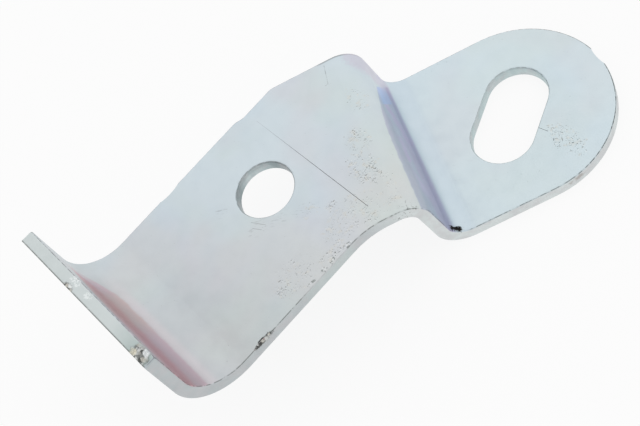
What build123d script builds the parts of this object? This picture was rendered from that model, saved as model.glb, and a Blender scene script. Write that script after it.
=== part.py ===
from build123d import *
import os
from math import cos, radians, sin, tan

# Bent strap bracket: one piece of strip steel, blanked to a dog-legged outline,
# pierced twice, then formed with an upright flange at one end and a joggle that
# drops the round-ended tail to a lower level.
#
# Frame: millimetres, +Z up.  The origin is the centre of the round bolt hole on
# the underside of the deck, and +X runs away from the flange along the deck.

# ---- strip ---------------------------------------------------------------------
SHEET = 2.5            # thickness of the strip
STRIP_W = 40.0         # width of the strip, on both legs of the dog-leg
CENTRE_Y = -3.0        # centre line of the deck, measured from the bolt hole
ROLL = 0.4             # rounding of the upper edges, where the press meets them first

# ---- dog-leg in plan -------------------------------------------------------------
TURN_X = 10.5          # bolt hole to the point where the two centre lines cross
TURN_DEG = 25.5        # turn of the tail leg, clockwise seen from above
TURN_R = 18.0          # blend on the hollow side of the turn
CROWN_CROP = 0.7       # the full side of the turn is cropped by this much
CROWN_X = 8.5          # bolt hole to the start of that crop
CROWN_R = 3.0          # blends of the crop and the turn's full side

# ---- upright flange --------------------------------------------------------------
FLANGE_X = 38.2        # bolt hole to the outside of the flange
FLANGE_H = 24.0        # underside of the deck to the flange's top edge
FLANGE_DEG = 92.0      # angle that the flange is folded through
FLANGE_R = 9.5         # inside radius of the fold
FLANGE_CORNER = 1.0    # rounding of the flange's two top corners

# ---- joggle ----------------------------------------------------------------------
JOGGLE_AT = 10.8       # crossing of the centre lines to the start of the upper fold
JOGGLE_DROP = 17.0     # level of the deck down to the level of the tail
JOGGLE_DEG = 82.0      # slope of the wall between the two folds
CREST_R = 3.0          # inside radius of the upper fold
VALLEY_R = 4.5         # inside radius of the lower fold

# ---- tail ------------------------------------------------------------------------
TAIL_END = 38.6        # crossing of the centre lines to the centre of the round end
SLOT_AT = 37.5         # crossing of the centre lines to the middle of the slot
SLOT_DEG = 49.5        # direction of the slot, anticlockwise from the tail
SLOT_W = 13.0          # width of the slot
SLOT_L = 22.0          # overall length of the slot

# ---- bolt hole ---------------------------------------------------------------------
HOLE_D = 12.0

# ---- parting notches, where the blank was snapped from the strip ----------------------
NOTCH_W = 5.2          # width of a notch along the edge
NOTCH_DEPTH = 0.55     # depth of a notch into the edge
NOTCH_X = -12.7        # bolt hole to the notch in the deck's side
NOTCH_DEG = 9.5        # direction of the notch in the round end, from the tail

# ---- worked out from the sizes above ---------------------------------------------------
half_w = STRIP_W / 2
left_y = CENTRE_Y + half_w
right_y = CENTRE_Y - half_w
turn = radians(TURN_DEG)
flange_fold = FLANGE_X - FLANGE_R - SHEET
wall_run = JOGGLE_DROP / tan(radians(JOGGLE_DEG))
reach = FLANGE_X + TURN_X + TAIL_END + STRIP_W

# Side plane of the tail: its x runs along the tail's centre line, its y is up.
tail_dir = Vector(cos(turn), -sin(turn), 0)
tail_side = Plane(origin=(TURN_X, CENTRE_Y, 0), x_dir=tail_dir, z_dir=tail_dir.cross(Vector(0, 0, 1)))
# Level of the tail's upper face: its x runs along the tail's centre line.
tail_top = Plane(origin=(TURN_X, CENTRE_Y, SHEET - JOGGLE_DROP), x_dir=tail_dir, z_dir=(0, 0, 1))
# Plane across the strip where the joggle's upper fold starts.
fold_plane = Plane(origin=tail_side.from_local_coords((JOGGLE_AT, 0)), z_dir=tail_dir)


def on_tail(along, across):
    """Plan point at a distance along and to the left of the tail's centre line."""
    return (TURN_X + along * cos(turn) + across * sin(turn),
            CENTRE_Y - along * sin(turn) + across * cos(turn))


with BuildPart() as bracket:
    # Deck and flange: the underside of the strip is drawn as a path with its fold,
    # and the strip's thickness is laid on the inside of it.
    with BuildSketch(Plane.XZ) as flange_section:
        with BuildLine():
            corner_x = -flange_fold - (FLANGE_R + SHEET) * tan(radians(FLANGE_DEG / 2))
            lean = FLANGE_H / tan(radians(FLANGE_DEG))
            FilletPolyline(
                (corner_x - lean, FLANGE_H),
                (corner_x, 0),
                (reach, 0),
                radius=FLANGE_R + SHEET,
            )
            offset(amount=SHEET, side=Side.LEFT)
        make_face()
    extrude(amount=reach, both=True)
    split(bisect_by=fold_plane, keep=Keep.BOTTOM)

    # Joggle and tail, drawn the same way in the tail's own side plane.
    with BuildSketch(tail_side) as joggle_section:
        with BuildLine():
            crest_x = JOGGLE_AT + CREST_R * tan(radians(JOGGLE_DEG / 2))
            FilletPolyline(
                (0, 0),
                (crest_x, 0),
                (crest_x + wall_run, -JOGGLE_DROP),
                (reach, -JOGGLE_DROP),
                radius=(CREST_R, VALLEY_R + SHEET),
            )
            offset(amount=SHEET, side=Side.LEFT)
        make_face()
    extrude(amount=reach, both=True)

    # The formed strip is trimmed to the outline of the blank, seen from above.
    with BuildSketch(Plane.XY.offset(-JOGGLE_DROP)) as outline:
        with BuildLine():
            crown_y = left_y - CROWN_CROP
            crown_along = (half_w * cos(turn) - crown_y + CENTRE_Y) / sin(turn)
            hollow_along = half_w * tan(turn / 2)
            full_side = FilletPolyline(
                (-reach, left_y),
                (CROWN_X - CROWN_R * CROWN_CROP, left_y),
                (CROWN_X, crown_y),
                on_tail(crown_along, half_w),
                on_tail(TAIL_END, half_w),
                radius=CROWN_R,
            )
            round_end = ThreePointArc(
                full_side @ 1, on_tail(TAIL_END + half_w, 0), on_tail(TAIL_END, -half_w)
            )
            hollow_side = FilletPolyline(
                round_end @ 1, on_tail(hollow_along, -half_w), (-reach, right_y), radius=TURN_R
            )
            Line(hollow_side @ 1, full_side @ 0)
        make_face()
    extrude(amount=JOGGLE_DROP + FLANGE_H + SHEET, mode=Mode.INTERSECT)

    # The flange's two top corners are rounded in the blank.
    flange_top = bracket.faces().sort_by(Axis.Z)[-1]
    fillet(flange_top.edges().sort_by(SortBy.LENGTH)[:2], radius=FLANGE_CORNER)

    # The shear rolls the upper edge over, in one run all round the outline.
    deck_face = bracket.faces().filter_by(Plane.XY).sort_by(Axis.Z)[-1]
    fillet(deck_face.edges().filter_by(Axis.X).sort_by(Axis.Y)[0], radius=ROLL)

    # Parting notches.
    with BuildSketch(Plane.XY.offset(-JOGGLE_DROP)) as notches:
        with Locations((NOTCH_X, left_y)):
            Ellipse(NOTCH_W / 2, NOTCH_DEPTH)
        swing = radians(NOTCH_DEG)
        rim = on_tail(TAIL_END + half_w * cos(swing), half_w * sin(swing))
        with Locations(Location(rim, NOTCH_DEG - TURN_DEG)):
            Ellipse(NOTCH_DEPTH, NOTCH_W / 2)
    extrude(amount=JOGGLE_DROP + SHEET, mode=Mode.SUBTRACT)

    # Bolt hole and slot, each with its upper rim rolled by the punch.
    with Locations((0, 0, SHEET)):
        Hole(HOLE_D / 2, SHEET)
    fillet(bracket.edges(Select.LAST).filter_by(GeomType.CIRCLE).sort_by(Axis.Z)[-1], radius=ROLL)
    with BuildSketch(tail_top) as slot:
        with Locations((SLOT_AT, 0)):
            SlotOverall(SLOT_L, SLOT_W, rotation=SLOT_DEG)
    extrude(amount=-SHEET, mode=Mode.SUBTRACT)
    fillet(bracket.edges(Select.LAST).group_by(Axis.Z)[-1], radius=ROLL)

bracket.part.label = "bracket"

os.makedirs("parts", exist_ok=True)
export_step(bracket.part, "parts/bracket.step")
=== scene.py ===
# %% [markdown]
# # A zinc-plated strap bracket
#
# The object is one piece of pressed sheet steel. A round-holed deck has an upright flange folded up at
# one end. At the other end the strap turns, steps down through a joggle, and ends in a round tail with
# a slanted slot. The steel is plated with zinc and dipped in a clear passivate, which leaves a pale,
# slightly blue skin with a faint bloom of other colours.
#
# The form of the sheet comes ready made from the CAD model, so this lesson is about its surface, and
# about lighting pale metal so that it reads as metal without burning out.

import math

import bpy
import numpy as np
from mathutils import Matrix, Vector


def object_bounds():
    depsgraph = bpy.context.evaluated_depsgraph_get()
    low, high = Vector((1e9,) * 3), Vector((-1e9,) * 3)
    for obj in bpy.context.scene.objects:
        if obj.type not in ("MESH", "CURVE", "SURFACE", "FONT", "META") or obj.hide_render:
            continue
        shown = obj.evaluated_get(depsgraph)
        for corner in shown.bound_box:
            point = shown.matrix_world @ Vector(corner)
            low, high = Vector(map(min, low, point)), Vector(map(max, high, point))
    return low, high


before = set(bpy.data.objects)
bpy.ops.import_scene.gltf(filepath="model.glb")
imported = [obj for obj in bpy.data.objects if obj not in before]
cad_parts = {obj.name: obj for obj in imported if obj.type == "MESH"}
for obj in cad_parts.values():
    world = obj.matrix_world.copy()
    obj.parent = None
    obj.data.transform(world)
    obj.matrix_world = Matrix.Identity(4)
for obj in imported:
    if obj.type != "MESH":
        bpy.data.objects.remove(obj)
cad_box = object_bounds()
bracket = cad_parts["bracket"]
print("CAD box in mm:", [[round(1000 * c, 2) for c in corner] for corner in cad_box])

# %% [markdown]
# ## The sheet's own directions
#
# The bracket isn't straight: its tail points 25.5 degrees away from its deck. A mark on the tail is easy
# to place when it is measured along and across the tail, so the turn is written down once and every
# finish below measures from it. All sizes in the finishes are millimetres, because that is how a
# maker would give them.

# %% Named sizes of the sheet
SHEET = 2.5  # thickness
DROP = 17.0  # the level of the deck down to the level of the tail
TAIL_TOP = SHEET - DROP
FOLD_X = -26.2  # where the deck ends and the flange begins to fold up
TURN_X, CENTRE_Y = 10.5, -3.0  # where the centre lines of deck and tail cross
TURN_DEG = 25.5  # the turn of the tail, clockwise from above
HOLE_R = 6.0  # the hole's middle is the zero point of the frame
SLOT_AT, SLOT_DEG = 37.5, 49.5  # the slot's middle along the tail, and its slant
SLOT_R, SLOT_HALF_RUN = 6.5, 4.5  # its round ends, and half the distance between their middles
X_WAY, Y_WAY, Z_WAY = (1.0, 0.0, 0.0), (0.0, 1.0, 0.0), (0.0, 0.0, 1.0)
MM_PER_METRE = 1000.0

turn = math.radians(TURN_DEG)
tail_way = (math.cos(turn), -math.sin(turn), 0.0)
cross_way = (math.sin(turn), math.cos(turn), 0.0)
print("tail points along", [round(c, 3) for c in tail_way])

# %% The middle line of the slot


def on_tail(along, across):
    """A plan point of the tail: the turning point, plus along times the tail's direction, plus across
    times the direction square to it."""
    return (TURN_X + along * tail_way[0] + across * cross_way[0],
            CENTRE_Y + along * tail_way[1] + across * cross_way[1])


slant = math.radians(SLOT_DEG)
slot_start, slot_end = [(*on_tail(SLOT_AT + way * SLOT_HALF_RUN * math.cos(slant),
                                  way * SLOT_HALF_RUN * math.sin(slant)), 0.0) for way in (-1, 1)]
slot_run = tuple(b - a for a, b in zip(slot_start, slot_end))
print("slot runs between", [[round(c, 1) for c in end] for end in (slot_start, slot_end)])

# %% [markdown]
# ## The camera
#
# A long lens is used close in, looking down on the part from its near side. A camera looks along its own
# minus Z with plus Y up, so its turn is written as three columns: its right, its up and its back.

# %% Set up the camera
CAMERA_AT = (-0.0204018, -0.138545, 0.187344)
CAMERA_RIGHT = (0.672778, -0.649184, -0.354867)
CAMERA_UP = (0.732428, 0.516670, 0.443398)
CAMERA_BACK = (-0.104497, -0.558223, 0.823084)
SENSOR_MM, LENS_MM = 36.0, 67.704
NEAREST, FARTHEST = 0.01, 20.0

lens = bpy.data.cameras.new("long_lens")
lens.type, lens.sensor_fit = "PERSP", "HORIZONTAL"
lens.sensor_width, lens.lens = SENSOR_MM, LENS_MM
lens.clip_start, lens.clip_end = NEAREST, FARTHEST
camera = bpy.data.objects.new("long_lens", lens)
bpy.context.collection.objects.link(camera)
columns = (CAMERA_RIGHT, CAMERA_UP, CAMERA_BACK, CAMERA_AT)
rows = [[column[row] for column in columns] for row in range(3)]
camera.matrix_world = Matrix(rows + [[0, 0, 0, 1]])
bpy.context.scene.camera = camera
bpy.context.scene.view_settings.view_transform = "Standard"
print("camera looks down at", round(math.degrees(math.asin(CAMERA_BACK[2])), 1), "degrees")

# %% [markdown]
# ## Helpers for building a finish from nodes
#
# A finish is a small calculation done at every point of the surface: how near is this point to that
# scratch, how steep is the sheet here. Node trees do such sums, but wiring them by hand is slow to read.
# The workbench below lets each sum be written as one line, and still leaves ordinary nodes behind.
#
# Most borders on metal are soft, so the step that is used most is a fade: a mask that is 0 on one side
# of a border and 1 on the other. Its two numbers are where the change starts and stops, in millimetres
# when it reads a place. Multiplying masks keeps what lies inside them all.

# %% Colours from a paint chart
NEARLY_BLACK = 0.04045


def linear(red, green, blue):
    """A colour as a paint chart gives it, 0 to 255, as the linear values that a shader wants: each
    channel over 255, then (c + 0.055) / 1.055 to the power 2.4, or c / 12.92 when it is nearly black."""
    c = np.array([red, green, blue]) / 255.0
    return tuple(np.where(c <= NEARLY_BLACK, c / 12.92, ((c + 0.055) / 1.055) ** 2.4)) + (1.0,)


print("mid grey on the chart is", round(float(linear(128, 128, 128)[0]), 3), "to a shader")

# %% A workbench that writes sums as nodes
# A Mix node has a set of sockets for each kind of value: under, over and result.
MIX_SOCKETS = {"FLOAT": (2, 3, 0), "RGBA": (6, 7, 2)}


class Workbench:
    """Adds nodes to one tree. Every value may be a plain number or another node's output."""

    def __init__(self, tree):
        self.tree = tree

    def place(self, kind, **settings):
        """A new node with these settings."""
        node = self.tree.nodes.new(kind)
        for name, value in settings.items():
            setattr(node, name, value)
        return node

    def feed(self, socket, value):
        """Links a node's output to the socket, or sets the socket to a plain value."""
        if isinstance(value, bpy.types.NodeSocket):
            self.tree.links.new(value, socket)
        else:
            socket.default_value = value

    def maths(self, operation, *values):
        """One step of arithmetic on one or two values."""
        node = self.place("ShaderNodeMath", operation=operation)
        for socket, value in zip(node.inputs, values):
            self.feed(socket, value)
        return node.outputs[0]

    def chain(self, operation, values):
        """The same step of arithmetic on all the values, from the first to the last."""
        result = values[0]
        for value in values[1:]:
            result = self.maths(operation, result, value)
        return result

    def plus(self, *values):
        """All the values added."""
        return self.chain("ADD", values)

    def minus(self, *values):
        """The first value less all the others."""
        return self.chain("SUBTRACT", values)

    def times(self, *values):
        """All the values multiplied."""
        return self.chain("MULTIPLY", values)

    def largest(self, *values):
        """The largest of the values."""
        return self.chain("MAXIMUM", values)

    def smallest(self, *values):
        """The smallest of the values."""
        return self.chain("MINIMUM", values)

    def vector(self, operation, a, b):
        """One step of arithmetic on two vectors, or on a vector and the number that scales it."""
        node = self.place("ShaderNodeVectorMath", operation=operation)
        self.feed(node.inputs[0], a)
        self.feed(node.inputs["Scale" if operation == "SCALE" else 1], b)
        return node.outputs["Vector"]

    def along(self, vector, way):
        """How far a vector reaches in one direction: their dot product."""
        node = self.place("ShaderNodeVectorMath", operation="DOT_PRODUCT")
        self.feed(node.inputs[0], vector)
        self.feed(node.inputs[1], way)
        return node.outputs["Value"]

    def length(self, vector):
        """The root of the sum of a vector's three squares."""
        node = self.place("ShaderNodeVectorMath", operation="LENGTH")
        self.feed(node.inputs[0], vector)
        return node.outputs["Value"]

    def off_line(self, point, start, run):
        """How far a point is from a straight stretch: the length of (point - start) - share times run.
        The share is the dot product of (point - start) and run, over run's own, held in 0 to 1."""
        reach = self.vector("SUBTRACT", point, start)
        share = self.maths("DIVIDE", self.along(reach, run), self.along(run, run))
        share = self.smallest(self.largest(share, 0.0), 1.0)
        return self.length(self.vector("SUBTRACT", reach, self.vector("SCALE", run, share)))

    def fade(self, value, start, stop, low=0.0, high=1.0):
        """Low before start, high after stop, and an S-shaped change between. Start may be the larger."""
        node = self.place("ShaderNodeMapRange", interpolation_type="SMOOTHSTEP", clamp=True)
        forward, backward = (value, start, stop, low, high), (value, stop, start, high, low)
        for socket, number in zip(node.inputs, backward if start > stop else forward):
            self.feed(socket, number)
        return node.outputs[0]

    def band(self, value, start, full, end, stop):
        """A mask that rises from start to full, and falls again from end to stop."""
        return self.times(self.fade(value, start, full), self.fade(value, stop, end))

    def noise(self, vector, scale, detail=2.0, roughness=0.5):
        """Cloudy noise from 0 to 1: scale is lumps in a millimetre, and detail is how many finer layers
        lie on them, each as strong as roughness times the one before."""
        node = self.place("ShaderNodeTexNoise")
        self.feed(node.inputs["Vector"], vector)
        for label, value in (("Scale", scale), ("Detail", detail), ("Roughness", roughness)):
            node.inputs[label].default_value = value
        return node.outputs["Fac"]

    def wander(self, vector, size, *texture):
        """Noise brought round zero, to make a border uneven: (noise - 0.5) times size."""
        return self.times(self.minus(self.noise(vector, *texture), 0.5), size)

    def mix(self, kind, under, over, mask):
        """Under times (1 - mask), plus over times mask."""
        first, second, result = MIX_SOCKETS[kind]
        node = self.place("ShaderNodeMix", data_type=kind)
        for socket, value in ((0, mask), (first, under), (second, over)):
            self.feed(node.inputs[socket], value)
        return node.outputs[result]

    def tint(self, under, over, mask, strength=1.0):
        """One colour laid on another, as strongly as the mask times the strength."""
        return self.mix("RGBA", under, over, mask if strength == 1.0 else self.times(mask, strength))


print("workbench ready")

# %% Starting a node group
VECTOR, NUMBER, COLOUR = "NodeSocketVector", "NodeSocketFloat", "NodeSocketColor"


def start_group(name, takes, gives):
    """An empty node group with named inputs and outputs. Takes and gives name the kind of each."""
    tree = bpy.data.node_groups.new(name, "ShaderNodeTree")
    for in_out, sockets in (("INPUT", takes), ("OUTPUT", gives)):
        for label, kind in sockets.items():
            tree.interface.new_socket(name=label, in_out=in_out, socket_type=kind)
    bench = Workbench(tree)
    return bench, bench.place("NodeGroupInput").outputs, bench.place("NodeGroupOutput").inputs


print("a group can carry", VECTOR, NUMBER, "and", COLOUR)

# %% [markdown]
# ## Where on the sheet am I?
#
# A pressed strap has two kinds of surface. Its two skins keep the mill finish of the sheet. Its edges were
# cut, so they are duller and greyer. The kind can be told from the way the surface faces: on flat sheet
# a cut edge faces sideways, but in a bend a skin also faces sideways, so there only the part of the facing
# that points across the strap counts. The answer is a number from 0 on a skin to 1 on a cut edge.

# %% Group: places on the sheet, skins and edges
JOGGLE = (7.0, 7.6, 23.4, 24.0)  # along the tail: the two folds and the wall between them
FLANGE_TOP = (23.0, 23.6)

bench, takes, gives = start_group(
    "sheet_places", {"Place": VECTOR, "Facing": VECTOR},
    dict.fromkeys(("Along", "Across", "Cut edge", "Rolled edge", "Joggle wall", "Flange fold",
                   "Topside", "Punched", "Rim"), NUMBER))
place, facing = takes["Place"], takes["Facing"]
from_turn = bench.vector("SUBTRACT", place, (TURN_X, CENTRE_Y, 0.0))
along, across = bench.along(from_turn, tail_way), bench.along(from_turn, cross_way)
x, z = bench.along(place, X_WAY), bench.along(place, Z_WAY)
upward = bench.along(facing, Z_WAY)
steep = bench.maths("ABSOLUTE", upward)
on_flat = bench.maths("SQRT", bench.largest(bench.minus(1.0, bench.times(steep, steep)), 0.0))
in_bend = bench.maths("ABSOLUTE", bench.along(facing, cross_way))
at_flange = bench.largest(bench.maths("ABSOLUTE", bench.along(facing, Y_WAY)),
                          bench.times(steep, bench.fade(z, *FLANGE_TOP)))
in_joggle = bench.band(along, *JOGGLE)
on_flange = bench.fade(x, FOLD_X + 0.4, FOLD_X - 0.2)
edgewise = bench.mix("FLOAT", on_flat, in_bend, in_joggle)
edgewise = bench.mix("FLOAT", edgewise, at_flange, on_flange)
print("skins and edges told apart with", len(bench.tree.nodes), "nodes")

# %% [markdown]
# ### The walls that a punch left
#
# The walls of the hole and the slot are cut edges too, but they meet the skin at a crisp border that the
# facing alone can't give. Distance gives it: past the hole it is the distance from the hole's middle less
# its radius, and past the slot it is the distance from the slot's middle line less its half width. A
# punch also leaves a thin shaded rim just below the top skin.

# %% Group: places on the sheet, hole and slot
NEAR_WALL, IN_WALL = (0.75, 0.65), (0.30, 0.06)  # mm past the wall
TAIL_LEVEL = (-6.0, -10.0)  # between these the deck's level gives way to the tail's
RIM_DEPTH, RIM_REACH = (0.02, 0.10, 0.22, 0.42), (0.30, 0.12)

plan = bench.vector("MULTIPLY", place, (1.0, 1.0, 0.0))
past_hole = bench.minus(bench.length(plan), HOLE_R)
past_slot = bench.minus(bench.off_line(plan, slot_start, slot_run), SLOT_R)
past_wall = bench.smallest(past_hole, past_slot)
near_wall = bench.fade(past_wall, *NEAR_WALL)
edgewise = bench.mix("FLOAT", edgewise, bench.fade(past_wall, *IN_WALL), near_wall)
depth = bench.minus(SHEET, bench.plus(z, bench.fade(z, *TAIL_LEVEL, high=DROP)))
rim = bench.times(bench.band(depth, *RIM_DEPTH), bench.fade(past_wall, *RIM_REACH))
print("hole and slot found")

# %% [markdown]
# ### Where the joggle's wall is stained
#
# The steep wall between the two folds took the passivate differently, and carries a bluish violet stain. Its
# colour is also partly painted shade: the darker reflection that the steep wall shows.
# Its upper border sags towards the far side of the strap, so the border is a cubic curve across the
# strap, made a little ragged by noise. The stain also stops at a slanted line towards the far side.

# %% Group: places on the sheet, the stain on the joggle's wall
BORDER_RAGGED, BORDER_TEXTURE = 0.45, (0.7, 3.0, 0.6)
SAG_FROM, SAG_OVER, SAG = -8.0, 25.0, 6.6
TOP_BORDER, FOOT_BORDER, FOOT_SLOPE = 0.4, -12.5, 0.02
WALL_SLANT = 0.618  # the slanted line: across plus this much of the height
SLANT_LINE, SLANT_DEPTHS, SLANT_REST = (10.9, 10.3), (-4.0, -8.0), 0.4

ragged = bench.wander(place, BORDER_RAGGED, *BORDER_TEXTURE)
sag_share = bench.maths("DIVIDE", bench.minus(across, SAG_FROM), SAG_OVER)
sag = bench.maths("POWER", bench.largest(sag_share, 0.0), 3.0)
top_border = bench.minus(bench.plus(TOP_BORDER, ragged), bench.times(sag, SAG))
foot_border = bench.plus(FOOT_BORDER, bench.times(across, FOOT_SLOPE))
slanted = bench.plus(across, bench.times(z, WALL_SLANT))
before_line = bench.fade(slanted, *SLANT_LINE, low=bench.fade(z, *SLANT_DEPTHS, high=SLANT_REST))
stained = bench.times(bench.fade(bench.minus(top_border, z), -0.1, 0.25), before_line,
                      bench.fade(bench.minus(z, foot_border), -0.5, 0.5))
tailward = bench.fade(bench.along(facing, tail_way), 0.25, 0.4)
print("stain on the joggle's wall bordered")

# %% Group: places on the sheet, what it gives
CUT, ROLLED = (0.72, 0.93), (0.30, 0.52, 0.66, 0.82)  # from 0 on a skin to 1 on a cut edge
FACING_IN, FACING_UP, FOLD_FOOT = (0.5, 0.75), (-0.1, 0.3), (3.0, 5.0)

inward = bench.fade(bench.along(facing, X_WAY), *FACING_IN)
for name, value in (
        ("Along", along), ("Across", across),
        ("Cut edge", bench.fade(edgewise, *CUT)),
        ("Rolled edge", bench.band(edgewise, *ROLLED)),
        ("Joggle wall", bench.times(tailward, in_joggle, stained)),
        ("Flange fold", bench.times(inward, on_flange, bench.fade(z, *FOLD_FOOT))),
        ("Topside", bench.fade(upward, *FACING_UP)),
        ("Punched", near_wall), ("Rim", rim)):
    bench.feed(gives[name], value)
print("sheet_places has", len(bench.tree.nodes), "nodes")

# %% [markdown]
# ## The bloom of the plating
#
# A clear passivate on zinc is a film a fraction of a micron thick, and its thickness wanders. Thin films
# colour the light that they return, so the skin drifts between a cold blue, a faint green and a warm
# pink, in patches some centimetres wide. Three slow noises give the drift, each with its own tint and
# each laid on very lightly. A fourth, with lumps of a few millimetres, is the haze that later steers
# how glossy the skin is.

# %% Group: plating bloom
BLOOMS = ((0.045, (0, 0, 0), (196, 212, 228)), (0.06, (31, 7, 3), (206, 218, 210)),
          (0.05, (5, 43, 11), (214, 204, 210)))  # scale, shift of the noise, tint
BLOOM_BORDER, HAZE = (0.46, 0.66), (0.35, 4.0, 0.6)

bench, takes, gives = start_group(
    "plating_bloom", {"Place": VECTOR, "Base": COLOUR, "Strength": NUMBER}, {"Color": COLOUR, "Haze": NUMBER})
colour = takes["Base"]
for scale, shift, shade in BLOOMS:
    patch = bench.noise(bench.vector("ADD", takes["Place"], shift), scale, detail=2.0, roughness=0.55)
    colour = bench.tint(colour, linear(*shade), bench.fade(patch, *BLOOM_BORDER), strength=takes["Strength"])
bench.feed(gives["Color"], colour)
bench.feed(gives["Haze"], bench.noise(takes["Place"], *HAZE))
print("plating_bloom has", len(bench.tree.nodes), "nodes")

# %% [markdown]
# ## Marks with a place of their own
#
# A scratch or a witness line is a short straight stretch: a point belongs to it when it is nearer to the
# stretch than half the line's width. A scuff or a stain is a soft spot: an ellipse with a blurred border,
# broken up by noise so that it looks like wear and not like a stamp. Pits and specks are the peaks of a
# fine noise, and the more of them are wanted, the lower the level that counts as a peak.

# %% Group: line mark
LINE_BORDER = (1.4, 0.6)  # in half widths

bench, takes, gives = start_group(
    "line_mark", {"Place": VECTOR, "Start": VECTOR, "End": VECTOR, "Half width": NUMBER}, {"Mask": NUMBER})
run = bench.vector("SUBTRACT", takes["End"], takes["Start"])
nearness = bench.maths("DIVIDE", bench.off_line(takes["Place"], takes["Start"], run), takes["Half width"])
bench.feed(gives["Mask"], bench.fade(nearness, *LINE_BORDER))
print("line_mark has", len(bench.tree.nodes), "nodes")

# %% Group: soft spot
SPOT_BORDER, SPOT_TEXTURE = (1.15, 0.7), (1.3, 4.0, 0.65)  # the border in reaches from the middle

bench, takes, gives = start_group(
    "soft_spot", {"Place": VECTOR, "Middle": VECTOR, "Reach": VECTOR, "Ragged": NUMBER}, {"Mask": NUMBER})
offset = bench.vector("SUBTRACT", takes["Place"], takes["Middle"])
reaches_out = bench.length(bench.vector("DIVIDE", offset, takes["Reach"]))
reaches_out = bench.plus(reaches_out, bench.wander(takes["Place"], takes["Ragged"], *SPOT_TEXTURE))
bench.feed(gives["Mask"], bench.fade(reaches_out, *SPOT_BORDER))
print("soft_spot has", len(bench.tree.nodes), "nodes")

# %% Group: pits and specks
GRIT = (3.7, 2.0, 0.7)
NO_PITS, PITS_GAINED = 0.755, 0.165  # the level of a peak, and how far the amount lowers it

bench, takes, gives = start_group("pits_and_specks", {"Place": VECTOR, "Amount": NUMBER}, {"Mask": NUMBER})
peak_level = bench.minus(NO_PITS, bench.times(takes["Amount"], PITS_GAINED))
bench.feed(gives["Mask"], bench.fade(bench.minus(bench.noise(takes["Place"], *GRIT), peak_level), 0.0, 0.035))
print("marks ready:", ", ".join(group.name for group in bpy.data.node_groups))

# %% [markdown]
# ## The zinc-plated skin
#
# All of this meets in one material. Bare metal is made with Metallic at 1, so its colour is the colour of
# what it reflects times its own. The plain skin comes first, then the bloom, then the colours of the bends,
# which are partly stain and partly painted shade and light. The cut edges follow, with painted shade on their
# borders, and last the marks of the press and of handling, whose pits, dents and facets carry painted shade
# and highlights. The same masks steer the roughness and the height, because a scuff that only changes colour
# looks printed.

# %% Material: zinc-plated steel
zinc = bpy.data.materials.new("zinc_plated_steel")
zinc.use_nodes = True
skin = zinc.node_tree.nodes["Principled BSDF"]
bench = Workbench(zinc.node_tree)


def use(name, **values):
    """Places a group in the material, feeds its inputs by name and returns its outputs."""
    node = bench.place("ShaderNodeGroup", node_tree=bpy.data.node_groups[name])
    for label, value in values.items():
        bench.feed(node.inputs[label.replace("_", " ")], value)
    return node.outputs


where = bench.place("ShaderNodeTexCoord")
place, facing = bench.vector("SCALE", where.outputs["Object"], MM_PER_METRE), where.outputs["Normal"]
x, y, z = [bench.along(place, way) for way in (X_WAY, Y_WAY, Z_WAY)]
at = use("sheet_places", Place=place, Facing=facing)
print("the material knows", ", ".join(output.name for output in at))

# %% Placing a mark in the material


def line(start, end, half_width):
    """The mask of a straight mark that runs from start to end."""
    return use("line_mark", Place=place, Start=start, End=end, Half_width=half_width)["Mask"]


def spot(middle, reach, ragged):
    """The mask of a soft spot: an ellipse round the middle that reaches so far along x, y and z."""
    return use("soft_spot", Place=place, Middle=middle, Reach=reach, Ragged=ragged)["Mask"]


print("marks can be placed")

# %% [markdown]
# ### The plain skin
#
# Even plain plating isn't one colour. It is a little warmer towards the flange, paler at the deck's near
# side, and bluer on the tail. Slow fades across the sheet give that, where a noise would give patches.
# The bloom then lies over it, more weakly on the tail.

# %% Plain skin and bloom
WARM_DECK, COOL_DECK = linear(198, 203, 206), linear(210, 221, 227)
PALE_SIDE, BLUE_TAIL = linear(212, 217, 215), linear(212, 225, 230)
DRIFT_WAY, NEAR_WAY = (1.0, 0.6, 0.0), (0.5, -1.0, 0.0)
BLOOM_ON_DECK, BLOOM_ON_TAIL = 0.26, 0.15

colour = bench.tint(WARM_DECK, COOL_DECK, bench.fade(bench.along(place, DRIFT_WAY), -40.0, 6.0))
near_side = bench.fade(bench.along(place, NEAR_WAY), 6.0, 30.0)
colour = bench.tint(colour, PALE_SIDE, near_side, strength=bench.fade(at["Along"], -22.0, 4.0, high=0.8))
colour = bench.tint(colour, BLUE_TAIL, bench.fade(at["Along"], 14.0, 20.0))
bloom = use("plating_bloom", Place=place, Base=colour,
            Strength=bench.fade(at["Along"], 12.0, 20.0, low=BLOOM_ON_DECK, high=BLOOM_ON_TAIL))
colour = bloom["Color"]
print("plain skin laid")

# %% [markdown]
# ### The stain in the flange's fold
#
# Passivate can gather in a fold and dry thicker there, and the inside of the flange's fold is rose. The stain
# is a tongue: its lower border climbs the fold towards the far side as a cubic curve, its far end draws back
# with height, and it pales to half its strength at the flange's top. A stronger core lies inside it. Along
# its foot a faint pale pink is painted on as light, to lift the shade that the bend gives there. An image
# would have to be painted for this part alone, while a border written as a curve can be moved by changing one
# number.

# %% Shape of the fold's stain
FOLD_BORDER, FOLD_CLIMB, CLIMB_OVER = 6.05, 5.0, 14.0
FOLD_RAGGED, FOLD_TEXTURE = 0.7, (0.35, 3.0, 0.6)
SLANT_FROM, SLANT_OVER, END_SLANT = 12.0, 9.0, 14.0

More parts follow.
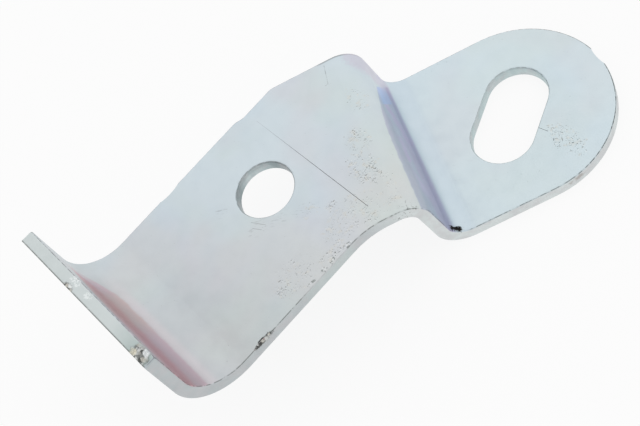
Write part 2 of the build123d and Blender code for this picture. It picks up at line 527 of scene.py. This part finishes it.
climb = bench.maths("POWER", bench.maths("DIVIDE", bench.largest(y, 0.0), CLIMB_OVER), 3.0)
border = bench.plus(FOLD_BORDER, bench.times(climb, FOLD_CLIMB))
above = bench.plus(bench.minus(z, border), bench.wander(place, FOLD_RAGGED, *FOLD_TEXTURE))
height_share = bench.maths("DIVIDE", bench.largest(bench.minus(z, SLANT_FROM), 0.0), SLANT_OVER)
far_end = bench.plus(y, bench.times(bench.maths("POWER", height_share, 2.0), END_SLANT))
tongue = bench.times(at["Flange fold"], bench.fade(far_end, 15.0, 8.5), bench.fade(z, 24.2, 20.0, low=0.5))
stain = bench.times(tongue, bench.fade(above, -0.3, 0.4))
core = bench.times(tongue, bench.band(above, 1.7, 4.0, 9.0, 17.0))
foot_light = bench.times(at["Flange fold"], bench.band(z, 3.6, 4.6, 6.2, 7.4), bench.fade(y, 12.0, 2.0))
print("tongue, core and foot of the stain shaped")

# %% Colour of the fold's stain
FOOT_LIGHT_PINK = linear(222, 212, 216)
ROSE, TANNED_ROSE = linear(208, 188, 196), linear(208, 190, 189)
DEEP_ROSE, TANNED_DEEP_ROSE = linear(213, 168, 174), linear(208, 168, 169)

tanned = bench.band(y, -10.0, -2.0, 4.0, 9.0)
# Painted light: a faint pale pink along the fold's foot lifts the bend's shade.
colour = bench.tint(colour, FOOT_LIGHT_PINK, foot_light, strength=0.6)
colour = bench.tint(colour, bench.tint(ROSE, TANNED_ROSE, tanned), stain, strength=0.95)
colour = bench.tint(colour, bench.tint(DEEP_ROSE, TANNED_DEEP_ROSE, tanned), core, strength=0.85)
print("fold stained")

# %% [markdown]
# ### The stain and painted shade on the joggle's wall
#
# The wall's stain was bordered above, in the places group. Its colours are partly stain and partly painted
# shade, and they lie in layers: violet and grey in patches, greyer at the near side, bluer by the slanted
# line, then painted darker towards the foot, as the shade of the crease there, and greyer towards the crest.
# Each layer is one shade with a mask of its own, so any one can be moved alone. The sheet round the wall gets
# three quiet touches: a dark line at the far edge, lilac at the wall's far end and blue in the valley.

# %% Colour of the joggle's wall
VIOLET, GREY_VIOLET, NEAR_SIDE_GREY = linear(205, 193, 221), linear(195, 201, 217), linear(187, 192, 209)
BRIGHT_BLUE, LOW_VIOLET = linear(184, 202, 238), linear(196, 187, 211)
FOOT_SHADE_VIOLET, CREST_GREY = linear(158, 154, 184), linear(184, 191, 204)
WALL_PATCHES = (0.14, 2.0, 0.5)

slanted = bench.plus(at["Across"], bench.times(z, WALL_SLANT))
wall_stain_and_shade = bench.tint(VIOLET, GREY_VIOLET, bench.fade(bench.noise(place, *WALL_PATCHES), 0.42, 0.58))
wall_stain_and_shade = bench.tint(wall_stain_and_shade, NEAR_SIDE_GREY, bench.fade(at["Across"], -11.0, -17.0))
by_line = bench.times(bench.band(slanted, 5.6, 6.1, 14.0, 15.0), bench.fade(z, -11.5, -9.0))
wall_stain_and_shade = bench.tint(wall_stain_and_shade, BRIGHT_BLUE, by_line)
low_share = bench.fade(at["Across"], 4.0, -4.0, low=0.25, high=0.8)
wall_stain_and_shade = bench.tint(wall_stain_and_shade, LOW_VIOLET, bench.fade(z, -5.0, -8.0), strength=low_share)
# Painted shade: the foot of the wall is darker, as the crease where it meets the tail shades it.
wall_stain_and_shade = bench.tint(wall_stain_and_shade, FOOT_SHADE_VIOLET, bench.fade(z, -9.6, -11.6), strength=0.5)
wall_stain_and_shade = bench.tint(wall_stain_and_shade, CREST_GREY, bench.fade(z, -4.5, -1.0), strength=0.8)
# The wall's colour is partly the stain and partly painted shade, the darker reflection that the steep wall
# shows.
colour = bench.tint(colour, wall_stain_and_shade, at["Joggle wall"], strength=0.9)
print("joggle's wall stained")

# %% Round the joggle's wall
DARK_LINE, FAR_LILAC, VALLEY_BLUE = linear(120, 124, 122), linear(206, 200, 214), linear(200, 214, 224)

skin_only = bench.minus(1.0, at["Cut edge"])
far_line = bench.times(bench.fade(at["Across"], 19.3, 19.7), bench.band(at["Along"], 7.0, 9.0, 15.0, 17.0))
valley = bench.times(bench.band(at["Along"], 17.6, 18.6, 21.0, 23.0), skin_only)
colour = bench.tint(colour, DARK_LINE, far_line, strength=0.6)
colour = bench.tint(colour, FAR_LILAC, spot((33.0, 7.0, -4.0), (4.2, 4.6, 9.0), ragged=0.6), strength=0.6)
colour = bench.tint(colour, VALLEY_BLUE, valley, strength=0.6)
print("far edge, far end and valley coloured")

# %% [markdown]
# ### Cut edges and punched walls
#
# The outside edges were sheared, and the hole and the slot were punched. A punch shears the upper part of a
# wall smooth and tears the lower part, and upright streaks run over both. The upper part is painted darker
# here, as shade. In the hole the parts of the wall that face the flange and the tail are painted darker
# still. This is shade, and on the part that faces the flange it is also the dark reflection of the wall
# across the hole. They are told from the facing, because on a round wall each facing is a place.

# %% Colour of the punched walls
WALL_DARK, WALL_PALE, SLOT_WALL = linear(190, 204, 206), linear(206, 219, 220), linear(199, 215, 216)
UPPER_WALL_SHADE, FLANGE_SIDE_SHADE, TAIL_SIDE_SHADE = linear(146, 164, 168), linear(144, 156, 160), linear(110, 124, 128)
TO_FLANGE, TO_TAIL = (-1.0, 0.0, 0.0), (0.77, -0.64, 0.0)
UPRIGHT_STREAKS, STREAK_TEXTURE = (1.0, 1.0, 0.25), (0.8, 4.0, 0.65)

streak = bench.noise(bench.vector("MULTIPLY", place, UPRIGHT_STREAKS), *STREAK_TEXTURE)
in_slot = bench.fade(at["Along"], 10.0, 26.0)
in_hole = bench.fade(in_slot, 1.0, 0.0)
upper_half = bench.fade(bench.plus(z, bench.times(in_slot, DROP)), 1.0, 1.7)
wall = bench.tint(WALL_DARK, WALL_PALE, bench.fade(streak, 0.36, 0.62))
wall = bench.tint(wall, SLOT_WALL, in_slot, strength=0.6)
# Painted shade: the upper part of each punched wall is darker.
wall = bench.tint(wall, UPPER_WALL_SHADE, upper_half, strength=bench.fade(in_slot, 0.0, 1.0, low=0.46, high=0.12))
flange_share = bench.fade(in_slot, 1.0, 0.0, low=0.12)
# Painted shade and reflection: in the hole the walls facing the flange and the tail are darker.
flange_shade_mask = bench.times(bench.along(facing, TO_FLANGE), at["Punched"], flange_share)
wall = bench.tint(wall, FLANGE_SIDE_SHADE, bench.fade(flange_shade_mask, 0.45, 0.95, high=0.75))
tail_shade_mask = bench.fade(bench.along(facing, TO_TAIL), 0.80, 0.98, high=0.5)
wall = bench.tint(wall, TAIL_SIDE_SHADE, tail_shade_mask, strength=in_hole)
print("punched walls mixed")

# %% Colour of the cut edges and the rims
DECK_EDGE, TAIL_EDGE, WARM_PATCH = linear(199, 205, 207), linear(220, 226, 226), linear(206, 204, 206)
RIM_SHADE = linear(112, 122, 124)
EDGE_PATCHES, RIM_BREAKS = (0.3, 4.0, 0.6), (1.1, 2.0, 0.6)

edge = bench.tint(DECK_EDGE, TAIL_EDGE, bench.fade(at["Along"], 2.0, 14.0))
edge = bench.tint(edge, wall, at["Punched"])
edge = bench.tint(edge, WARM_PATCH, bench.fade(bench.noise(place, *EDGE_PATCHES), 0.40, 0.62), strength=0.45)
colour = bench.tint(colour, edge, at["Cut edge"])
# Painted shade: the rim just below the top skin is dark grey, as the rounded border shades it.
rim = bench.times(at["Rim"], bench.fade(bench.noise(place, *RIM_BREAKS), 0.38, 0.56, low=0.3))
colour = bench.tint(colour, RIM_SHADE, rim, strength=bench.fade(in_slot, 1.0, 0.0, low=0.08, high=0.3))
print("edges and rims coloured")

# %% [markdown]
# ### The flange's top and the dark borders
#
# The flange's top edge is a narrow strip that meets the light. Towards its near end the strip is painted
# greyer, as the shade of a part that faces away from the light. Where skin and edge meet, the press rolled
# the border over, and that rounded border is painted as a dark line, its shade. That line is broken by a
# noise, fuller round the tail, and weaker on a short stretch of the deck's near edge by the dents, where the
# cut edge is paler. Another dark line runs along the strip's outer border.

# %% Top strip, rolled borders and outer line
STRIP_PALE, STRIP_SHADE_GREY = linear(213, 220, 220), linear(184, 197, 195)
ROLLED_EDGE_SHADE, NEAR_DENTS_PALE = linear(98, 102, 100), linear(204, 214, 213)
BREAKS = (0.9, 3.0, 0.6)

strip = bench.times(at["Cut edge"], bench.fade(z, 23.2, 23.8))
# Painted shade: towards its near end the strip is greyer, where it faces away from the light.
colour = bench.tint(colour, bench.tint(STRIP_PALE, STRIP_SHADE_GREY, bench.fade(y, -11.0, -21.0)), strip)
broken = bench.fade(bench.noise(place, *BREAKS), 0.38, 0.55)
line_left = bench.largest(broken, bench.fade(at["Along"], 46.0, 52.0, high=0.55))
rolled = bench.times(at["Rolled edge"], line_left, bench.fade(at["Along"], 40.0, 52.0, low=0.7))
near_dents_stretch = bench.times(bench.band(x, -12.0, -9.0, 0.5, 3.5), bench.fade(y, -20.0, -22.0))
# Painted shade: the dark line along the rolled border is the shade of its rounding, weaker by the dents.
colour = bench.tint(colour, ROLLED_EDGE_SHADE, rolled, strength=bench.fade(near_dents_stretch, 0.0, 1.0, low=1.0, high=0.2))
colour = bench.tint(colour, NEAR_DENTS_PALE, bench.times(near_dents_stretch, at["Cut edge"]), strength=0.6)
outer = bench.times(bench.fade(x, -37.45, -37.75), bench.fade(z, 23.6, 23.9))
colour = bench.tint(colour, DARK_LINE, outer, strength=bench.fade(streak, 0.3, 0.5, low=0.35, high=0.9))
print("strip and borders coloured")

# %% [markdown]
# ### Specks and stale patches
#
# Where the skin was handled it is finely pitted, and the plating goes stale round the pits. Each patch is a
# soft spot with its own strength. Together they say how many specks there are at a point, and clumpy noise
# keeps the patches uneven. Each pit is painted as a dark speck, which is its shade. Beside every dark speck
# lies a bright one, its painted highlight, made with the same group a quarter of a millimetre away, because
# the rim of a pit catches the light.

# %% How speckled each place is
SPECKLED = (((18.7, -8.0, SHEET), (2.4, 3.4, 2.0), 0.95), ((15.0, -13.6, SHEET), (3.0, 4.4, 2.0), 1.15),
            ((15.8, -19.6, SHEET), (1.8, 2.4, 2.0), 0.8), ((5.2, -14.1, SHEET), (1.5, 1.3, 2.0), 1.0),
            ((2.6, -11.2, SHEET), (2.2, 1.5, 2.0), 0.8), ((6.0, -18.2, SHEET), (6.5, 3.4, 2.0), 0.85),
            ((-12.3, -18.4, SHEET), (2.0, 2.4, 2.0), 0.95), ((46.5, -32.2, TAIL_TOP), (2.6, 5.5, 2.0), 1.0),
            ((12.0, -22.0, SHEET), (6.0, 2.6, 2.0), 0.8), ((25.6, -1.6, SHEET), (3.4, 3.4, 2.0), 0.75),
            ((-9.4, -18.4, SHEET), (5.2, 3.8, 2.0), 0.74), ((-0.6, -21.0, SHEET), (4.6, 1.8, 2.0), 0.85))
EVERYWHERE, CLUMPS = 0.15, (0.55, 3.0, 0.6)

speckled = [bench.times(spot(middle, reach, ragged=1.6), strength) for middle, reach, strength in SPECKLED]
amount = bench.times(bench.largest(EVERYWHERE, *speckled),
                     bench.fade(bench.noise(place, *CLUMPS), 0.36, 0.60, low=0.55, high=1.12))
print(len(SPECKLED), "speckled patches")

# %% Specks, stale skin and glints
STALE_BEIGE, PIT_SHADE_GREY, GLINT = linear(215, 212, 203), linear(100, 104, 100), linear(240, 243, 242)
SPECK_FADES, STALE_TEXTURE = (1.4, 1.0, 0.5), (0.8, 3.0, 0.6)
GLINT_SHIFT = (0.17, 0.21, 0.0)

specks = bench.times(use("pits_and_specks", Place=place, Amount=amount)["Mask"], skin_only,
                     bench.fade(bench.noise(place, *SPECK_FADES), 0.3, 0.6, low=0.3))
stale = bench.fade(bench.times(amount, bench.fade(bench.noise(place, *STALE_TEXTURE), 0.4, 0.7)), 0.2, 0.9)
colour = bench.tint(colour, STALE_BEIGE, stale, strength=0.45)
# Painted shade: each pit is a dark speck.
colour = bench.tint(colour, PIT_SHADE_GREY, specks, strength=0.5)
shifted = use("pits_and_specks", Place=bench.vector("ADD", place, GLINT_SHIFT), Amount=amount)["Mask"]
glints = bench.times(shifted, skin_only, bench.minus(1.0, specks))
colour = bench.tint(colour, GLINT, glints, strength=0.5)
print("specks and glints laid on")

# %% [markdown]
# ### Lines left by the press and by handling
#
# The witness line is a thin line that a press tool left across the deck. The other lines come from
# handling: a short scratch on the tail, a curled scrape near the crest, two scrapes by the hole, and
# rubbed patches. A rub is a bundle of fine parallel lines, so its noise is stretched along the rub.

# %% Witness line, scratch and scrapes
WITNESS_ENDS = ((9.6, 13.0, SHEET), (9.6, -20.0, SHEET))
CURL = ((26.7, 10.1, SHEET), (24.1, 6.2, SHEET), (22.0, 7.0, SHEET))
SCRAPES = (((-6.6, -3.0, SHEET), (-5.2, -5.8, SHEET)), ((-7.3, -4.2, SHEET), (-6.4, -5.9, SHEET)))
SCRAPE_STRENGTH, CURL_BREAKS = 0.3, (0.8, 3.0, 0.6)

witness = bench.times(line(*WITNESS_ENDS, half_width=0.041), bench.fade(y, 14.0, -10.0, low=0.2, high=0.95))
scratch = line((45.3, -26.0, TAIL_TOP), (45.7, -28.1, TAIL_TOP), half_width=0.035)
curl = bench.times(bench.largest(*[line(start, end, half_width=0.09) for start, end in zip(CURL, CURL[1:])]),
                   bench.fade(bench.noise(place, *CURL_BREAKS), 0.42, 0.62, high=0.35))
scrapes = [bench.times(line(start, end, half_width=0.07), SCRAPE_STRENGTH) for start, end in SCRAPES]
print("witness line and", 2 + len(scrapes), "scrapes placed")

# %% Rubbed patches
RUBS = (((-6.6, -5.0, SHEET), (2.4, 1.8, 2.0)), ((-2.6, -7.4, SHEET), (2.4, 1.6, 2.0)),
        ((1.2, -9.8, SHEET), (2.0, 1.6, 2.0)), ((-9.0, 4.0, SHEET), (1.6, 1.2, 2.0)))
ALONG_RUB, ACROSS_RUB, RUB_TEXTURE = (0.32, -0.30, 0.0), (1.5, 1.6, 0.0), (1.1, 4.0, 0.7)
LINE_GREY = linear(84, 84, 84)

stretched = bench.place("ShaderNodeCombineXYZ")
bench.feed(stretched.inputs["X"], bench.along(place, ALONG_RUB))
bench.feed(stretched.inputs["Y"], bench.along(place, ACROSS_RUB))
rubbed = bench.fade(bench.noise(stretched.outputs[0], *RUB_TEXTURE), 0.55, 0.64, high=0.26)
rubs = bench.times(bench.largest(*[spot(middle, reach, ragged=1.0) for middle, reach in RUBS]), rubbed)
lines = bench.times(bench.largest(witness, scratch, curl, *scrapes, rubs), at["Topside"])
colour = bench.tint(colour, LINE_GREY, lines)
print("lines laid on the top skin")

# %% [markdown]
# ### Dirt, a nick and a gouged crest
#
# Some marks lie on an edge or a bend and not on the top skin. A streak of black dirt sits on the joggle's
# near edge: it is a short line, but the place that it is measured from is shaken by a noise first, so
# its outline is ragged. The round end has a small nick, and the joggle's crest is gouged at its near
# end. Along the deck's near edge lie four small dents.

# %% Dirt, nick and gouges
BLACK_DIRT, NICK_BROWN, GOUGE_GREY = linear(38, 36, 34), linear(158, 150, 142), linear(104, 106, 104)
SHAKE_SCALE, SHAKE = 2.2, 1.7
GOUGE_TEXTURE = (1.8, 3.0, 0.7)

shaking = bench.place("ShaderNodeTexNoise")
bench.feed(shaking.inputs["Vector"], place)
shaking.inputs["Scale"].default_value = SHAKE_SCALE
shaken = bench.vector("SCALE", bench.vector("SUBTRACT", shaking.outputs["Color"], (0.5, 0.5, 0.5)), SHAKE)
dirt = use("line_mark", Place=bench.vector("ADD", place, shaken),
           Start=(18.5, -27.9, -12.3), End=(19.5, -28.55, -13.6), Half_width=0.58)["Mask"]
nick = bench.times(spot((41.0, -39.4, -15.4), (2.0, 1.2, 0.7), ragged=2.4), broken)
gouged = bench.times(spot((13.2, -26.4, 1.2), (2.4, 2.8, 1.6), ragged=1.4),
                     bench.fade(bench.noise(place, *GOUGE_TEXTURE), 0.56, 0.64))
colour = bench.tint(colour, BLACK_DIRT, dirt)
colour = bench.tint(colour, NICK_BROWN, nick, strength=0.5)
colour = bench.tint(colour, GOUGE_GREY, gouged, strength=0.6)
print("dirt, nick and gouges laid on")

# %% Dents on the deck's near edge
DENTS = (((1.6, -22.4, SHEET), (1.0, 0.5, 0.8)), ((-2.3, -22.3, SHEET), (0.8, 0.6, 0.8)),
         ((-4.6, -22.3, SHEET), (0.7, 0.5, 0.8)), ((-7.8, -22.2, SHEET), (1.1, 0.34, 0.8)))
DENT_SHADE, DENT_HIGHLIGHT, DENT_TEXTURE = linear(104, 112, 108), linear(240, 243, 243), (1.9, 3.0, 0.65)

dents = bench.largest(*[spot(middle, reach, ragged=1.6) for middle, reach in DENTS])
bits = bench.noise(place, *DENT_TEXTURE)
# Painted shade and highlight: each dent gets dark bits as its shade and bright bits as its highlight.
colour = bench.tint(colour, DENT_SHADE, dents, strength=bench.fade(bits, 0.49, 0.58, high=0.65))
colour = bench.tint(colour, DENT_HIGHLIGHT, dents, strength=bench.fade(bits, 0.43, 0.37, high=0.65))
print(len(DENTS), "dents laid on in dark and bright bits")

# %% [markdown]
# ### Chips on the flange's top
#
# Two spots on the flange's top edge are chipped, and a burr was left on the deck's near edge. Broken metal
# shows small flat facets, and each is painted a grey between shade and light, as its facing would catch the
# light, with painted shade along the borders between them. A Voronoi texture cuts a surface into such cells,
# so it gives the facets, and three larger ones, painted bright as highlights, are laid over it in their own
# places.

# %% Bright patches on the strip, and broken facets in painted light and shade
STRIP_BRIGHT, FACET_SHADE, FACET_LIT = linear(236, 241, 241), linear(96, 98, 96), linear(212, 214, 212)
FACET_BEIGE = linear(205, 203, 195)
STRIP_BRIGHT_PATCHES = (((-35.9, 0.7, 23.9), (0.7, 1.4, 1.0)), ((-36.3, -3.8, 23.9), (0.6, 1.0, 1.0)))
STRIP_TEXTURE, FACETS_PER_MM = (2.4, 2.0, 0.6), 1.6

strip_bright_patches = bench.largest(*[spot(middle, reach, ragged=2.2) for middle, reach in STRIP_BRIGHT_PATCHES])
strip_bits = bench.fade(bench.noise(place, *STRIP_TEXTURE), 0.46, 0.58)
colour = bench.tint(colour, STRIP_BRIGHT, strip_bright_patches, strength=strip_bits)
facets = bench.place("ShaderNodeTexVoronoi", feature="F1")
bench.feed(facets.inputs["Vector"], place)
facets.inputs["Scale"].default_value = FACETS_PER_MM
draws = bench.place("ShaderNodeSeparateColor")
bench.feed(draws.inputs[0], facets.outputs["Color"])
# Painted light and shade: each facet is a grey between shade and light, with painted shade along its borders.
chip = bench.tint(FACET_SHADE, FACET_LIT, bench.fade(draws.outputs[0], 0.05, 0.8))
chip = bench.tint(chip, FACET_BEIGE, bench.fade(draws.outputs[1], 0.80, 0.86))
chip = bench.tint(chip, FACET_SHADE, bench.fade(facets.outputs["Distance"], 0.62, 0.8, high=0.7))
print("facets cut")

# %% Chips and burr
LIT_FACETS = (((-37.2, -18.9, 24.0), (0.6, 0.9, 1.0), linear(226, 222, 206)),
                ((-35.8, -21.1, 23.9), (0.75, 0.85, 1.0), linear(242, 245, 246)),
                ((-37.1, 0.7, 24.0), (0.5, 0.6, 1.0), linear(240, 243, 242)))
CHIPS = (((-37.7, 0.9, 23.8), (0.85, 1.4, 1.1)), ((-36.8, -20.3, 23.6), (1.9, 2.1, 1.8)))
BURR_SHADE = linear(52, 52, 50)

# Painted highlights: three larger facets are bright.
for middle, reach, shade in LIT_FACETS:
    chip = bench.tint(chip, shade, spot(middle, reach, ragged=0.7))
burr = spot((-21.3, -22.8, 2.3), (2.6, 0.40, 0.5), ragged=1.2)
chipped = bench.largest(*[spot(middle, reach, ragged=0.9) for middle, reach in CHIPS], burr)
colour = bench.tint(colour, chip, chipped)
burr_line = line((-22.3, -22.35, SHEET), (-19.9, -22.35, SHEET), half_width=0.13)
colour = bench.tint(colour, BURR_SHADE, burr_line, strength=bench.fade(streak, 0.42, 0.52))
print(len(CHIPS), "chips and a burr laid on")

# %% [markdown]
# ### Roughness and height
#
# Plating is fairly glossy, and cut edges, dirt and pits are duller. The height is given in millimetres:
# a fine mill grain and a slower waviness everywhere, upright shear marks on the cut edges, lines and
# specks sunk in, and facets raised. The Bump node turns it into small changes of the facing.

# %% Roughness
GLOSSY, HAZY = 0.34, 0.46
EDGE_DULLER, DIRT_DULLER = 0.12, 0.3

rough = bench.plus(bench.fade(bloom["Haze"], 0.3, 0.7, low=GLOSSY, high=HAZY),
                   bench.times(at["Cut edge"], EDGE_DULLER),
                   bench.times(bench.largest(dirt, specks), DIRT_DULLER))
print("roughness from", GLOSSY, "to", HAZY, "on clean skin")

# %% Height
MILL_GRAIN, MILL_HEIGHT = (2.6, 5.0, 0.65), 0.004
WAVES, WAVE_HEIGHT = (0.5, 2.0, 0.5), 0.010
SHEAR_STRETCH, SHEAR_MARKS, SHEAR_HEIGHT = (1.0, 1.0, 0.16), (3.2, 3.0, 0.6), 0.018
LINE_DEPTH, FACET_HEIGHT = 0.04, 0.5
MILLIMETRE = 0.001

shear = bench.noise(bench.vector("MULTIPLY", place, SHEAR_STRETCH), *SHEAR_MARKS)
height = bench.plus(bench.times(bench.noise(place, *MILL_GRAIN), MILL_HEIGHT),
                    bench.times(bench.noise(place, *WAVES), WAVE_HEIGHT),
                    bench.times(shear, at["Cut edge"], SHEAR_HEIGHT))
height = bench.minus(height, bench.times(bench.largest(lines, specks), LINE_DEPTH))
height = bench.plus(height, bench.times(facets.outputs["Distance"], chipped, FACET_HEIGHT))
bump = bench.place("ShaderNodeBump")
bump.inputs["Strength"].default_value = 1.0
bump.inputs["Distance"].default_value = MILLIMETRE
bench.feed(bump.inputs["Height"], height)
print("mill grain", MILL_HEIGHT, "mm high and lines", LINE_DEPTH, "mm deep")

# %% The finish goes on the bracket
skin.inputs["Metallic"].default_value = 1.0
for label, value in (("Base Color", colour), ("Roughness", rough), ("Normal", bump.outputs["Normal"])):
    bench.feed(skin.inputs[label], value)
bracket.data.materials.clear()
bracket.data.materials.append(zinc)
print("zinc_plated_steel has", len(zinc.node_tree.nodes), "nodes")

# %% [markdown]
# ## Floor and light
#
# Pale metal shows what stands round it. In a white tent it turns white, and in a dark room it turns black.
# The tent here is white all round its foot and a little dimmer overhead on one side, so that the bends
# still read. A ray that reaches the floor from the lens, or by way of a reflection, meets mostly plain
# white paint, so the ground is clean and the metal mirrors the same ground. A share of the ordinary
# diffuse floor keeps the shadow of the part.

# %% Floor
HALF, CLEARANCE = 1.6, 0.00003  # metres: half the floor's side, and its gap below the part
FLOOR_Z = cad_box[0][2] - CLEARANCE

floor_mesh = bpy.data.meshes.new("pale_floor")
corners = np.array([[-1, -1], [1, -1], [1, 1], [-1, 1]]) * HALF
floor_mesh.from_pydata(np.c_[corners, np.full(4, FLOOR_Z)].tolist(), [], [(0, 1, 2, 3)])
floor = bpy.data.objects.new("pale_floor", floor_mesh)
bpy.context.collection.objects.link(floor)
print("floor at", round(FLOOR_Z * 1000, 2), "mm")

# %% Floor paint
FLOOR_PALE, FLOOR_ROUGH, PLAIN_WHITE_SHARE = (0.9, 0.9, 0.9, 1.0), 0.9, 0.86

paint = bpy.data.materials.new("pale_floor_paint")
paint.use_nodes = True
bench = Workbench(paint.node_tree)
diffuse = paint.node_tree.nodes["Principled BSDF"]
diffuse.inputs["Base Color"].default_value = FLOOR_PALE
diffuse.inputs["Roughness"].default_value = FLOOR_ROUGH
white = bench.place("ShaderNodeEmission")
path = bench.place("ShaderNodeLightPath").outputs
seen = bench.largest(path["Is Camera Ray"], path["Is Glossy Ray"], path["Is Transmission Ray"])
blend = bench.place("ShaderNodeMixShader")
ingredients = (bench.times(seen, PLAIN_WHITE_SHARE), diffuse.outputs[0], white.outputs[0])
for socket, value in zip(blend.inputs, ingredients):
    bench.feed(socket, value)
bench.feed(paint.node_tree.nodes["Material Output"].inputs["Surface"], blend.outputs[0])
floor_mesh.materials.append(paint)
print("floor painted")

# %% Light tent
BRIGHT_SIDE, DIM, WHITE = (0.75, 0.35, 0.55), 0.66, (1.0, 1.0, 1.0, 1.0)

tent = bpy.data.worlds.new("white_tent")
bpy.context.scene.world = tent
tent.use_nodes = True
bench = Workbench(tent.node_tree)
sky = tent.node_tree.nodes["Background"]
way = bench.place("ShaderNodeTexCoord").outputs["Generated"]
overhead = bench.fade(bench.along(way, BRIGHT_SIDE), -0.7, 1.0, low=DIM)
foot = bench.fade(bench.along(way, Z_WAY), 0.5, 0.22)
bench.feed(sky.inputs["Color"], WHITE)
bench.feed(sky.inputs["Strength"], bench.largest(overhead, foot))
print("tent lit")
